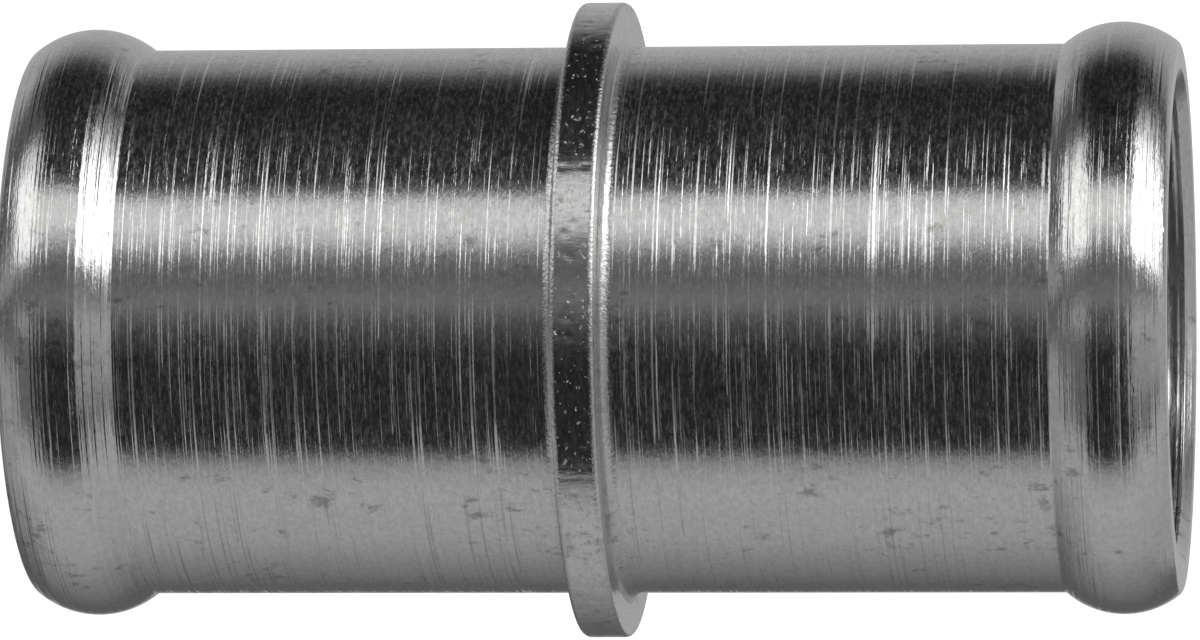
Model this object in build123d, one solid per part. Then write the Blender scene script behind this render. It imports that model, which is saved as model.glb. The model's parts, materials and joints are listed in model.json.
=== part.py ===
from build123d import *
import os

os.makedirs("parts", exist_ok=True)

# Driving sizes in millimetres. The fitting is turned in one piece from round steel bar:
# a collar in the middle, and on each side of it a plain spigot that ends in a rounded bead.
bore_diameter = 33.2
wall_thickness = 2.45
spigot_length = 38.5

# The collar that both hoses butt against. It stands out of the barrels, and its rim is the bar's own skin.
collar_height = 3.1
collar_width = 3.0
rim_edge_break = 0.3
collar_root_radius = 0.8

# The bead that keeps the hose from sliding off, at the free end of each spigot
bead_height = 1.5
bead_length = 8.0

# The open ends: the bead runs over into a rounded lip, and the bore is broken by a chamfer.
lip_radius = 0.4
bore_chamfer = 0.7

# Radii and heights worked out from the driving sizes. Heights count from the collar's middle.
bore_radius = bore_diameter / 2
barrel_radius = bore_radius + wall_thickness
collar_radius = barrel_radius + collar_height
crest_radius = barrel_radius + bead_height
flank_height = collar_width / 2
end_height = flank_height + spigot_length
bead_foot_height = end_height - bead_length
crest_height = end_height - bead_length / 2


def nearest_corner(sketch, radius, height):
    """The corner of the section that lies at the given radius and height."""
    return sketch.vertices().sort_by_distance((radius, height, 0))[0]


def half_section():
    """The wall's section on one side of the collar's middle, with radius along X and height along Z.

    The bead is one arc over its whole length: it rises from the barrel at a crisp foot,
    crests halfway and comes back to the barrel's radius at the end plane.
    """
    with BuildSketch(Plane.XZ) as section:
        with BuildLine():
            Polyline(
                (bore_radius, end_height),
                (bore_radius, 0),
                (collar_radius, 0),
                (collar_radius, flank_height),
                (barrel_radius, flank_height),
                (barrel_radius, bead_foot_height),
            )
            ThreePointArc(
                (barrel_radius, bead_foot_height),
                (crest_radius, crest_height),
                (barrel_radius, end_height),
            )
            Line((barrel_radius, end_height), (bore_radius, end_height))
        make_face()
        chamfer(nearest_corner(section, collar_radius, flank_height), rim_edge_break)
        fillet(nearest_corner(section, barrel_radius, flank_height), collar_root_radius)
        fillet(nearest_corner(section, barrel_radius, end_height), lip_radius)
        chamfer(nearest_corner(section, bore_radius, end_height), bore_chamfer)
    return section.sketch


def turned_body():
    """The whole fitting, standing on one end with its axis along Z and its foot at height 0."""
    with BuildPart() as body:
        revolve(half_section(), axis=Axis.Z)
        mirror(about=Plane.XY)
    return body.part.moved(Location((0, 0, end_height)))


export_step(turned_body(), "parts/hose_mender_body.step")
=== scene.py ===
import bpy
import json
import math
import numpy as np
from mathutils import Matrix, Vector


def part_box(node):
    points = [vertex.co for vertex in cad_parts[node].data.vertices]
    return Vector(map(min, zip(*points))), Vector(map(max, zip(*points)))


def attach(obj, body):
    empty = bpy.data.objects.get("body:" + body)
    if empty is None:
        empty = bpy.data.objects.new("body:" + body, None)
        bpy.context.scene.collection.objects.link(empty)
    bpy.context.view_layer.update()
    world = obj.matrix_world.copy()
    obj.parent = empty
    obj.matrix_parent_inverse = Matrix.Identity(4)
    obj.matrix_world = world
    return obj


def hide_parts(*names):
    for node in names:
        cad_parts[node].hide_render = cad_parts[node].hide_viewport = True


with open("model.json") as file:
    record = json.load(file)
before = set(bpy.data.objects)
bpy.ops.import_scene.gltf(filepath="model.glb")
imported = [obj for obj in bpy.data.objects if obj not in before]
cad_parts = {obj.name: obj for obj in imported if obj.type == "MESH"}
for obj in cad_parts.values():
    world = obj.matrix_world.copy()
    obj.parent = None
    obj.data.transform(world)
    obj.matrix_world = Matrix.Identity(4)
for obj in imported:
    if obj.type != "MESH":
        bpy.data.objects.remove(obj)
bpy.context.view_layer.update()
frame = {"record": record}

MM = 0.001
NODE = "hose_mender_body"

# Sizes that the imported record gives, in metres. Heights count from the foot the fitting stands on.
mounts = {m["name"]: m for m in frame["record"]["mounts"]}
foot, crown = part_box(NODE)
half_length = (crown.z - foot.z) / 2
collar_radius = crown.x
bore_radius = mounts["flow_bore"]["dims"]["r_mm"] * MM
barrel_radius = mounts["upper_hose_seat"]["dims"]["r_mm"] * MM
flank_height = mounts["upper_hose_stop"]["pos_m"][2] - half_length

# Sizes of the turned profile that the record doesn't hold, in metres
bead_height = 1.5 * MM
bead_length = 8.0 * MM
root_radius = 0.8 * MM
rim_roll_radius = 0.5 * MM
rim_roll_turn = math.radians(45)
lip_radius = 0.6 * MM
bore_chamfer = 0.7 * MM

# The mesh: how close to a crisp corner its extra points lie, and the number of points round the axis
corner_support = 0.05 * MM
columns = 720


# The turned profile

def straight(start, end, count):
    """Points from start to end along a line: start + s (end - start), with s from 0 to 1."""
    s = np.linspace(0, 1, count + 1)[:, None]
    return np.array(start) + s * (np.array(end) - np.array(start))


def supported(start, end, count):
    """A straight run with one more point close to each end, which keeps the corners there crisp."""
    a, b = np.array(start), np.array(end)
    step = (b - a) / np.linalg.norm(b - a) * corner_support
    return np.vstack([a, straight(a + step, b - step, count), b])


def arc(centre, radius, first, last, count):
    """Points on a circle: centre + radius (cos t, sin t), with t running from first to last in radians."""
    t = np.linspace(first, last, count + 1)
    return np.array(centre) + radius * np.stack([np.cos(t), np.sin(t)], axis=1)


def upper_profile():
    """The wall's outline from the rim's middle over the upper end to the bore's middle, as (finish, points).

    Each point is (radius, height above the collar's middle). The bead is one arc through its foot,
    its crest and the end plane. The lip is the circle that touches that arc and the end plane. The rim's
    edge is rolled over by an arc that meets the flank at a corner.
    """
    half_bead = bead_length / 2
    bead_radius = (half_bead ** 2 + bead_height ** 2) / (2 * bead_height)
    bead_centre = (barrel_radius + bead_height - bead_radius, half_length - half_bead)
    bead_foot = (barrel_radius, half_length - bead_length)
    foot_turn = math.atan2(bead_foot[1] - bead_centre[1], bead_foot[0] - bead_centre[0])
    lip_height = half_length - lip_radius
    lip_reach = math.sqrt((bead_radius - lip_radius) ** 2 - (lip_height - bead_centre[1]) ** 2)
    lip_centre = (bead_centre[0] + lip_reach, lip_height)
    lip_turn = math.atan2(lip_height - bead_centre[1], lip_reach)
    root_centre = (barrel_radius + root_radius, flank_height + root_radius)
    roll_rise = rim_roll_radius * math.sin(rim_roll_turn)
    roll_drop = rim_roll_radius * (1 - math.cos(rim_roll_turn))
    roll_centre = (collar_radius - rim_roll_radius, flank_height - roll_rise)
    bore_mouth = half_length - bore_chamfer
    right_angle = math.pi / 2
    return [
        ("rim", straight((collar_radius, 0), (collar_radius, roll_centre[1]), 7)),
        ("edge", arc(roll_centre, rim_roll_radius, 0, rim_roll_turn, 6)),
        ("flank", supported((collar_radius - roll_drop, flank_height), (root_centre[0], flank_height), 1)),
        ("root", arc(root_centre, root_radius, -right_angle, -math.pi, 8)),
        ("barrel", supported((barrel_radius, root_centre[1]), bead_foot, 1)),
        ("bead", arc(bead_centre, bead_radius, foot_turn, lip_turn, 27)),
        ("bead", arc(lip_centre, lip_radius, lip_turn, right_angle, 5)),
        ("face", supported((lip_centre[0], half_length), (bore_radius + bore_chamfer, half_length), 1)),
        ("face", supported((bore_radius + bore_chamfer, half_length), (bore_radius, bore_mouth), 1)),
        ("bore", supported((bore_radius, bore_mouth), (bore_radius, 0), 1)),
    ]


def closed_profile():
    """The whole closed outline as points, and the finish of the strip that starts at each point."""
    up = upper_profile()
    down = [(finish, points[::-1] * (1, -1)) for finish, points in up[::-1]]
    points = np.vstack([part[:-1] for _, part in up + down])
    finishes = [finish for finish, part in up + down for _ in part[:-1]]
    return points + (0, half_length), finishes


# Wear and bar skin, as small changes of radius

# Scores that drawing left along the bar, as angles round the axis from +X, with their size
SCORES = [math.radians(-118), math.radians(-61)]
SCORE_WIDTH = 0.12 * MM
SCORE_DEPTH = 0.01 * MM
# Pits in the bar's skin
PIT_SEED = 11
PIT_COUNT = 260
# The bar's unevenness, as seed, number of waves, and their lowest and highest wave number round the axis
BAR_WAVES = (5, 9, 12, 60)
BAR_WAVE_DEPTH = 0.003 * MM
# Wear of the rim's edges, as number of waves, and their lowest and highest wave number round the axis
WEAR_WAVES = (30, 40, 300)
WEAR_DEPTH = 0.03 * MM
UPPER_WEAR_SEED = 21
LOWER_WEAR_SEED = 22
# How far in from the rim the bar's skin reaches, and how far below the flank the edges' wear begins,
# as shares of the rolled edge's radius
SKIN_REACH = 0.3
WEAR_REACH = 0.7


def waves(angle, seed, count, lowest, highest):
    """Uneven waves round the axis: the sum of count sines, of seeded number and phase, over sqrt(count)."""
    draw = np.random.default_rng(seed)
    numbers = draw.integers(lowest, highest, count)
    phases = draw.uniform(0, 2 * math.pi, count)
    return np.sin(np.multiply.outer(angle, numbers) + phases).sum(-1) / math.sqrt(count)


def pits(angle, height, seed, count, spread):
    """Shallow pits in the bar's skin: the sum of count bells, each deepest at its own angle and height.

    A bell is exp(-(arc / width)^2 - (rise / length)^2), a little longer along the axis than round it,
    because the bar was drawn along it.
    """
    draw = np.random.default_rng(seed)
    where = draw.uniform(-math.pi, math.pi, count)
    level = draw.uniform(-spread, spread, count)
    width = draw.uniform(0.12, 0.26, count) * MM
    length = draw.uniform(0.14, 0.4, count) * MM
    depth = draw.uniform(0.008, 0.035, count) * MM
    turned = np.subtract.outer(angle, where)
    turned = np.angle(np.exp(1j * turned)) * collar_radius
    rise = np.subtract.outer(height, level)
    return (depth * np.exp(-((turned / width) ** 2) - (rise / length) ** 2)).sum(-1)


def worn(points):
    """The radius at each point and angle: the profile's own, less the rim's pits, waves, scores and wear.

    A score is depth exp(-(arc / width)^2). The edges are worn by the positive half of uneven waves.
    """
    angle = np.linspace(-math.pi, math.pi, columns, endpoint=False)
    radius = np.repeat(points[:, :1], columns, axis=1)
    rise = points[:, 1] - half_length
    outer = points[:, 0] > collar_radius - rim_roll_radius * SKIN_REACH
    for row in np.flatnonzero(outer & (np.abs(rise) <= flank_height)):
        radius[row] -= pits(angle, np.full(columns, rise[row]), PIT_SEED, PIT_COUNT, flank_height)
        radius[row] -= (waves(angle, *BAR_WAVES) + 2) * BAR_WAVE_DEPTH
        for place in SCORES:
            radius[row] -= SCORE_DEPTH * np.exp(-(((angle - place) * collar_radius / SCORE_WIDTH) ** 2))
        worn_by = np.clip((np.abs(rise[row]) - flank_height) / rim_roll_radius + WEAR_REACH, 0, 1)
        seed = UPPER_WEAR_SEED if rise[row] > 0 else LOWER_WEAR_SEED
        radius[row] -= worn_by * np.maximum(waves(angle, seed, *WEAR_WAVES), 0) * WEAR_DEPTH
    return angle, radius


def revolved(name):
    """The fitting's mesh: point (i, j) is profile point i turned by angle j about the axis.

    x = radius cos(angle), y = radius sin(angle), z = height. Both directions of the grid are closed.
    """
    points, finishes = closed_profile()
    angle, radius = worn(points)
    x = radius * np.cos(angle)
    y = radius * np.sin(angle)
    z = np.repeat(points[:, 1:], columns, axis=1)
    rows = len(points)
    here = np.arange(rows * columns).reshape(rows, columns)
    beside = np.roll(here, -1, axis=1)
    faces = np.stack([here, beside, np.roll(beside, -1, axis=0), np.roll(here, -1, axis=0)], axis=-1)
    mesh = bpy.data.meshes.new(name)
    mesh.vertices.add(rows * columns)
    mesh.vertices.foreach_set("co", np.stack([x, y, z], axis=-1).ravel())
    mesh.loops.add(faces.size)
    mesh.loops.foreach_set("vertex_index", faces.ravel())
    mesh.polygons.add(rows * columns)
    mesh.polygons.foreach_set("loop_start", np.arange(rows * columns) * 4)
    mesh.polygons.foreach_set("use_smooth", np.ones(rows * columns, dtype=bool))
    slots = [FINISHES.index(finish) for finish in finishes]
    mesh.polygons.foreach_set("material_index", np.repeat(slots, columns))
    mesh.update(calc_edges=True)
    mesh.validate()
    piece = bpy.data.objects.new(name, mesh)
    bpy.context.scene.collection.objects.link(piece)
    return piece


# Materials

def linear(code):
    """Linear colour from an sRGB hex code."""
    parts = [int(code[i:i + 2], 16) / 255 for i in (0, 2, 4)]
    return tuple(c / 12.92 if c <= 0.04045 else ((c + 0.055) / 1.055) ** 2.4 for c in parts) + (1,)


def node(tree, kind, inputs=(), **settings):
    """Adds one node with its settings. An input that is a socket is linked, and any other is a value."""
    made = tree.nodes.new(kind)
    for name, value in settings.items():
        setattr(made, name, value)
    for key, value in dict(inputs).items():
        if isinstance(value, bpy.types.NodeSocket):
            tree.links.new(value, made.inputs[key])
        else:
            made.inputs[key].default_value = value
    return made


def math_node(tree, operation, a, b=0.0):
    """One number from two."""
    return node(tree, "ShaderNodeMath", {0: a, 1: b}, operation=operation).outputs[0]


def vector_node(tree, operation, a, b=(0, 0, 0)):
    """One vector from two."""
    return node(tree, "ShaderNodeVectorMath", {0: a, 1: b}, operation=operation).outputs["Vector"]


def ramp(tree, value, low, high, to_low=0.0, to_high=1.0):
    """The value eased from one range to another, with no overshoot."""
    inputs = {"Value": value, "From Min": low, "From Max": high, "To Min": to_low, "To Max": to_high}
    return node(tree, "ShaderNodeMapRange", inputs, interpolation_type="SMOOTHSTEP").outputs["Result"]


def place_in_mm(tree):
    """The point's place in millimetres, from Object coordinates."""
    coordinates = node(tree, "ShaderNodeTexCoord").outputs["Object"]
    return vector_node(tree, "MULTIPLY", coordinates, (1000, 1000, 1000))


def cloud(tree, place, size, detail=2.0, rough=0.5):
    """Noise from 0 to 1 whose cells have the given size in millimetres along X, Y and Z."""
    cells = vector_node(tree, "DIVIDE", place, size)
    inputs = {"Vector": cells, "Scale": 1.0, "Detail": detail, "Roughness": rough}
    return node(tree, "ShaderNodeTexNoise", inputs).outputs["Fac"]


def lathe_place(tree, place, along):
    """Coordinates for marks that run round the axis: X and Y as they are, and the feed direction as Z.

    along is "height" on surfaces that stand along the axis, and "radius" on faces square to it.
    """
    if along == "height":
        return place
    flat = vector_node(tree, "MULTIPLY", place, (1, 1, 0))
    radius = node(tree, "ShaderNodeVectorMath", {0: flat}, operation="LENGTH").outputs["Value"]
    up = node(tree, "ShaderNodeCombineXYZ", {"Z": radius}).outputs[0]
    return vector_node(tree, "ADD", flat, up)


def tipped_normal(tree, place, normal, slope):
    """The normal leant along the tool's feed by the given slope, as a groove's wall leans it.

    The feed direction is the normal crossed with the direction round the axis.
    """
    flat = vector_node(tree, "MULTIPLY", place, (1, 1, 0))
    around = vector_node(tree, "NORMALIZE", vector_node(tree, "CROSS_PRODUCT", (0, 0, 1), flat))
    feed = vector_node(tree, "CROSS_PRODUCT", normal, around)
    lean = node(tree, "ShaderNodeVectorMath", {0: feed, "Scale": slope}, operation="SCALE").outputs["Vector"]
    return vector_node(tree, "NORMALIZE", vector_node(tree, "ADD", normal, lean))


# The steepest that a mark leans the surface, as a slope
STEEPEST = 0.36
# Cell sizes of the patterns on the plating, in millimetres along X, Y and Z
NICK_SIZE = (0.9, 0.9, 0.12)
MOTTLE_SIZE = (0.5, 0.5, 0.4)
SCUFF_SIZE = (0.7, 0.7, 0.2)
STAIN_SIZE = (1.1, 1.1, 1.5)
STAINED_PATCH_SIZE = (6, 6, 5)
# Length round the axis over which a tool line keeps to its place along the feed, in millimetres
LINE_LENGTH = 90


def tool_lines(tree, place, pitch, reach, slope, tail):
    """Slope of the lines that the tool left: (slope d + tail d^3) m, with d the noise less its mean.

    The noise is very long round the axis and short along the feed (pitch), so a line runs true. The cube
    keeps most lines faint and makes a few steep. m fades them in and out over the reach.
    """
    lines = cloud(tree, place, (LINE_LENGTH, LINE_LENGTH, pitch), detail=1.5)
    d = math_node(tree, "SUBTRACT", lines, 0.5)
    square = math_node(tree, "MULTIPLY", d, d)
    share = node(tree, "ShaderNodeMath", {0: square, 1: tail, 2: slope}, operation="MULTIPLY_ADD").outputs[0]
    shown = ramp(tree, cloud(tree, place, (reach, reach, pitch * 3), detail=2.5, rough=0.65), 0.36, 0.6)
    return math_node(tree, "MULTIPLY", math_node(tree, "MULTIPLY", d, share), shown)


def nicks(tree, place, size, slope):
    """Slope of short marks, steep in a few spots only: slope (6 d)^3, with d the noise less its mean."""
    d = math_node(tree, "SUBTRACT", cloud(tree, place, size, detail=2.0, rough=0.6), 0.5)
    cube = math_node(tree, "POWER", math_node(tree, "MULTIPLY", d, 6.0), 3.0)
    return math_node(tree, "MULTIPLY", cube, slope)


# The plating's colours: bright zinc, where its passivation has stained it, and where it is dull
ZINC = "D3D3D2"
ZINC_STAINED = "A0A09E"
ZINC_DULL = "C9C9C8"
# Roughness of the light that hairline scuffs scatter, and what a stain adds to the roughness
HAZE_ROUGHNESS = 0.5
STAIN_ROUGHENS = 0.08


def stains(tree, place):
    """Where the passivated zinc is stained: soft rags a millimetre across, gathered in some places."""
    rags = cloud(tree, place, STAIN_SIZE, detail=5.0, rough=0.68)
    gathered = cloud(tree, place, STAINED_PATCH_SIZE, detail=1.0)
    raised = math_node(tree, "ADD", rags, math_node(tree, "MULTIPLY", gathered, 0.4))
    return ramp(tree, raised, 0.79, 0.94)


def plated_finish(name, along, lines, marks_between, skin, roughness, haze=0.2, stained=1.0):
    """Bright zinc on steel, with the marks that one way of machining leaves.

    lines is a list of (pitch, reach, slope, tail) for the tool's lines, and marks_between is the slope of
    the small marks among them. skin is a list of (cell size, depth, lowest, highest): unevenness that isn't
    from the tool, in millimetres, cut into the surface where the noise lies between two levels. haze is the
    largest share of light that patches of hairline scuffs scatter widely.
    """
    material = bpy.data.materials.new(name)
    material.use_nodes = True
    tree = material.node_tree
    tree.nodes.clear()
    place = place_in_mm(tree)
    marks = lathe_place(tree, place, along)
    slope = 0.0
    for pitch, reach, lean, tail in lines:
        slope = math_node(tree, "ADD", tool_lines(tree, marks, pitch, reach, lean, tail), slope)
    slope = math_node(tree, "ADD", nicks(tree, place, NICK_SIZE, marks_between), slope)
    clamped = node(tree, "ShaderNodeClamp", {"Value": slope, "Min": -STEEPEST, "Max": STEEPEST})
    height = 0.0
    for size, depth, lowest, highest in skin:
        cut = ramp(tree, cloud(tree, place, size, detail=3.0, rough=0.6), lowest, highest, 0.0, -depth)
        height = math_node(tree, "ADD", cut, height)
    bump_inputs = {"Height": height, "Distance": MM, "Strength": 1.0}
    bumped = node(tree, "ShaderNodeBump", bump_inputs).outputs["Normal"]
    mottle = cloud(tree, place, MOTTLE_SIZE, detail=4.0, rough=0.7)
    dull = ramp(tree, mottle, 0.4, 0.62)
    base = node(tree, "ShaderNodeMix", {0: dull, 6: linear(ZINC), 7: linear(ZINC_DULL)}, data_type="RGBA")
    stain = math_node(tree, "MULTIPLY", stains(tree, place), stained)
    colour_inputs = {0: stain, 6: base.outputs[2], 7: linear(ZINC_STAINED)}
    colour = node(tree, "ShaderNodeMix", colour_inputs, data_type="RGBA")
    rough = ramp(tree, stain, 0.0, 1.0, roughness, roughness + STAIN_ROUGHENS)
    normal = tipped_normal(tree, place, bumped, clamped.outputs[0])
    metal = {"Base Color": colour.outputs[2], "Metallic": 1.0, "Normal": normal}
    bright = node(tree, "ShaderNodeBsdfPrincipled", {**metal, "Roughness": rough})
    hazy = node(tree, "ShaderNodeBsdfPrincipled", {**metal, "Roughness": HAZE_ROUGHNESS})
    scuffed = cloud(tree, marks, SCUFF_SIZE, detail=5.0, rough=0.72)
    share = ramp(tree, scuffed, 0.40, 0.64, 0.0, haze)
    surface = node(tree, "ShaderNodeMixShader", {0: share, 1: bright.outputs[0], 2: hazy.outputs[0]})
    node(tree, "ShaderNodeOutputMaterial", {"Surface": surface.outputs[0]})
    return material


FINISHES = ["barrel", "bead", "root", "edge", "flank", "rim", "face", "bore"]


def finish_materials():
    """One material for each way a surface of the fitting was made, in the order of FINISHES.

    A finishing cut leaves lines closer than 0.1 mm, too fine to show in the picture, so its lines and the
    unevenness named here are drawn as coarse as they need to show.
    """
    grain = ((0.5, 0.5, 0.14), 0.008, 0.1, 0.9)
    scale_pits = ((0.42, 0.42, 0.34), 0.04, 0.63, 0.75)
    drawn = ((0.3, 0.3, 0.9), 0.006, 0.1, 0.9)
    burr = ((0.22, 0.22, 0.22), 0.028, 0.2, 0.8)
    pocks = ((0.25, 0.25, 0.25), 0.02, 0.3, 0.75)
    return [
        # Turned and bright plated: a mirror of the studio in dark and pale bands, crossed by thin bright
        # lines where the tool's grooves catch a lamp
        plated_finish("zinc_plated_steel_turned_barrel", "height",
                      [(0.22, 10, 0.1, 120), (0.10, 4, 0.8, 45)], 0.05, [grain], 0.07, 0.32),
        # Cut by a form tool: smoother than the barrel, so its highlights run on with fewer lines
        plated_finish("zinc_plated_steel_form_turned_bead", "height",
                      [(0.22, 10, 0.05, 55), (0.10, 4, 0.6, 30)], 0.05, [grain], 0.09, 0.22),
        # Turned by the tool's tip: rougher in the corner, which blurs the bands there
        plated_finish("zinc_plated_steel_turned_root", "height",
                      [(0.15, 9, 1.0, 20)], 0.03, [pocks], 0.2),
        # Worn by handling: a broken bright line of specks along the rim
        plated_finish("zinc_plated_steel_worn_edge", "height",
                      [], 0.0, [burr], 0.14, 0.1, 0.3),
        # Faced across: fine circles that give an even, duller grey
        plated_finish("zinc_plated_steel_faced_flank", "radius",
                      [(0.2, 12, 0.7, 3)], 0.01, [grain], 0.25),
        # The drawn bar's own skin: small pits that show as dark and bright dots, and no turning lines
        plated_finish("zinc_plated_steel_bar_skin", "height",
                      [], 0.02, [drawn, scale_pits], 0.11, 0.2),
        # Faced across: an even, pale ring with faint circles
        plated_finish("zinc_plated_steel_faced_end", "radius",
                      [(0.2, 12, 0.6, 3)], 0.01, [grain], 0.2),
        # Drilled and plated inside: coarse lines that break the light up round the wall
        plated_finish("zinc_plated_steel_drilled_bore", "height",
                      [(0.25, 6, 2.0, 90)], 0.06, [grain], 0.22),
    ]


# The studio

WHITE = (1, 1, 1, 1)
# The light that a ramp's colour of 1 stands for
BRIGHTEST = 4.0

# The studio round the fitting, as light by angle round the axis: 0 is towards the camera, 90 towards the
# picture's top and -90 towards its foot, in degrees. A pale table lies under the picture's foot, a black
# card stands before the table, a strip light hangs above the camera, and a black card over that.
AHEAD = [(-180, 0.48), (-172, 0.45), (-166, 0.12), (-150, 0.13), (-125, 0.29), (-105, 0.45), (-80, 0.52),
         (-68, 0.46), (-61, 0.30), (-57, 0.06), (-53, 0.022), (-14, 0.022), (-1, 0.09), (8, 0.225),
         (18, 0.13), (27, 0.20), (35, 0.78), (42, 0.98), (52, 0.82), (56, 0.14), (62, 0.025),
         (114, 0.015), (123, 0.07), (133, 0.30), (148, 0.48), (180, 0.5)]
# Past the cards' left end: the table's grey, and a softbox above the camera
LEFTWARD = [(-180, 0.30), (-165, 0.12), (-140, 0.15), (-115, 0.32), (-75, 0.52), (-58, 0.42), (-46, 0.17),
            (-12, 0.17), (-3, 0.38), (3, 0.38), (14, 0.15), (25, 0.22), (32, 1.50), (64, 1.50), (78, 1.10),
            (85, 0.40), (92, 0.14), (104, 0.09), (119, 0.16), (134, 0.50), (180, 0.40)]
# Beyond that softbox
FAR_LEFTWARD = [(-180, 0.15), (-115, 0.36), (-45, 0.42), (-16, 0.18), (14, 0.13), (25, 0.34), (50, 0.40),
                (62, 0.20), (92, 0.10), (118, 0.14), (134, 0.50), (180, 0.40)]
# Past the cards' right end: a paler table, and a larger and brighter softbox
RIGHTWARD = [(-180, 0.46), (-118, 0.42), (-72, 0.52), (-58, 0.42), (-49, 0.20), (-42, 0.20), (-34, 0.34),
             (-10, 0.40), (-3, 0.47), (4, 0.38), (14, 0.20), (24, 0.30), (31, 2.20), (64, 2.80), (78, 2.20),
             (88, 1.10), (98, 0.45), (107, 0.10), (118, 0.09), (127, 0.28), (145, 0.50), (180, 0.42)]
# Straight up the fitting's axis
UPWARD = [(-180, 0.40), (-60, 0.45), (20, 0.47), (32, 0.75), (60, 0.75), (75, 0.45), (90, 0.20), (112, 0.14),
          (125, 0.40), (180, 0.48)]
# Each column with the angles along the axis, towards the picture's right, between which it begins
COLUMNS = [(FAR_LEFTWARD, None), (LEFTWARD, (-60, -50)), (AHEAD, (-32, -23)), (RIGHTWARD, (20, 32)),
           (UPWARD, (60, 72))]


def light_by_angle(tree, angle, stops):
    """Light read from stops of (angle in degrees, light), straight from each stop to the next."""
    turn = node(tree, "ShaderNodeMapRange", {"Value": angle, "From Min": -180, "From Max": 180})
    made = node(tree, "ShaderNodeValToRGB", {"Fac": turn.outputs["Result"]})
    band = made.color_ramp
    for _ in stops[2:]:
        band.elements.new(0.5)
    for element, (degrees, light) in zip(band.elements, stops):
        element.position = (degrees + 180) / 360
        element.color = (light / BRIGHTEST,) * 3 + (1,)
    return math_node(tree, "MULTIPLY", made.outputs["Color"], BRIGHTEST)


def studio_light():
    """The world: white behind the fitting, and the studio's cards and softboxes as the metal sees them."""
    world = bpy.data.worlds.new("studio")
    bpy.context.scene.world = world
    world.use_nodes = True
    tree = world.node_tree
    tree.nodes.clear()
    direction = node(tree, "ShaderNodeTexCoord").outputs["Generated"]
    axes = node(tree, "ShaderNodeSeparateXYZ", {0: direction})
    to_top = math_node(tree, "MULTIPLY", axes.outputs[0], -1.0)
    to_camera = math_node(tree, "MULTIPLY", axes.outputs[1], -1.0)
    around = math_node(tree, "DEGREES", math_node(tree, "ARCTAN2", to_top, to_camera))
    along = math_node(tree, "DEGREES", math_node(tree, "ARCSINE", axes.outputs[2]))
    light = 0.0
    for stops, begins in COLUMNS:
        level = light_by_angle(tree, around, stops)
        share = ramp(tree, along, *begins) if begins else 1.0
        light = node(tree, "ShaderNodeMix", {0: share, 2: light, 3: level}, data_type="FLOAT").outputs[0]
    rays = node(tree, "ShaderNodeLightPath")
    seen = math_node(tree, "MAXIMUM", rays.outputs["Is Camera Ray"], rays.outputs["Is Transmission Ray"])
    studio = node(tree, "ShaderNodeBackground", {"Color": WHITE, "Strength": light})
    white = node(tree, "ShaderNodeBackground", {"Color": WHITE, "Strength": 1.0})
    both = node(tree, "ShaderNodeMixShader", {0: seen, 1: studio.outputs[0], 2: white.outputs[0]})
    node(tree, "ShaderNodeOutputWorld", {"Surface": both.outputs[0]})


FLOOR_HALF = 6.0
PAPER = (0.9, 0.9, 0.9, 1)
# The share of the floor's look that takes the shadow, and the glow that brings the rest up to white
SHADOW_SHARE = 0.22
FLOOR_GLOW = 1.3


def pale_floor():
    """A white floor under the foot. The camera sees it as white paper with the fitting's soft shadow."""
    mesh = bpy.data.meshes.new("floor")
    corners = [(-FLOOR_HALF, -FLOOR_HALF, 0), (FLOOR_HALF, -FLOOR_HALF, 0),
               (FLOOR_HALF, FLOOR_HALF, 0), (-FLOOR_HALF, FLOOR_HALF, 0)]
    mesh.from_pydata(corners, [], [(0, 1, 2, 3)])
    floor = bpy.data.objects.new("floor", mesh)
    bpy.context.scene.collection.objects.link(floor)
    material = bpy.data.materials.new("white_paper_floor")
    material.use_nodes = True
    tree = material.node_tree
    tree.nodes.clear()
    rays = node(tree, "ShaderNodeLightPath")
    paper = node(tree, "ShaderNodeBsdfDiffuse", {"Color": PAPER})
    white = node(tree, "ShaderNodeEmission", {"Color": WHITE, "Strength": FLOOR_GLOW})
    share = math_node(tree, "MULTIPLY", rays.outputs["Is Camera Ray"], 1 - SHADOW_SHARE)
    lit = node(tree, "ShaderNodeMixShader", {0: share, 1: paper.outputs[0], 2: white.outputs[0]})
    node(tree, "ShaderNodeOutputMaterial", {"Surface": lit.outputs[0]})
    mesh.materials.append(material)
    floor.visible_glossy = False


# The camera

# The camera fitted to the photo: width and focal length in pixels, sensor in millimetres, places in
# metres and turns in radians
PICTURE_WIDTH = 1200
FOCAL_PIXELS = 9453
SENSOR_WIDTH = 36
CAMERA_DISTANCE = 0.6555
CAMERA_ABOVE_MIDDLE = 0.0771
LOOK_DOWN = 0.118
PICTURE_ROLL = 0.0043


def photo_camera():
    """The camera, rolled a quarter turn: the picture's right is up the fitting, and its top towards -X."""
    data = bpy.data.cameras.new("camera")
    data.sensor_width = SENSOR_WIDTH
    data.lens = SENSOR_WIDTH * FOCAL_PIXELS / PICTURE_WIDTH
    data.clip_start = 0.01
    data.clip_end = 50
    camera = bpy.data.objects.new("camera", data)
    bpy.context.scene.collection.objects.link(camera)
    forward = Vector((0, math.cos(LOOK_DOWN), -math.sin(LOOK_DOWN)))
    right = Vector((PICTURE_ROLL, math.sin(LOOK_DOWN), math.cos(LOOK_DOWN))).normalized()
    up = right.cross(forward).normalized()
    place = Vector((0, -CAMERA_DISTANCE, half_length + CAMERA_ABOVE_MIDDLE))
    camera.matrix_world = Matrix.Translation(place) @ Matrix((right, up, -forward)).transposed().to_4x4()
    bpy.context.scene.camera = camera


piece = revolved("hose_mender")
for material in finish_materials():
    piece.data.materials.append(material)
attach(piece, "root")
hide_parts(NODE)
pale_floor()
studio_light()
photo_camera()
bpy.context.scene.view_settings.view_transform = "Standard"
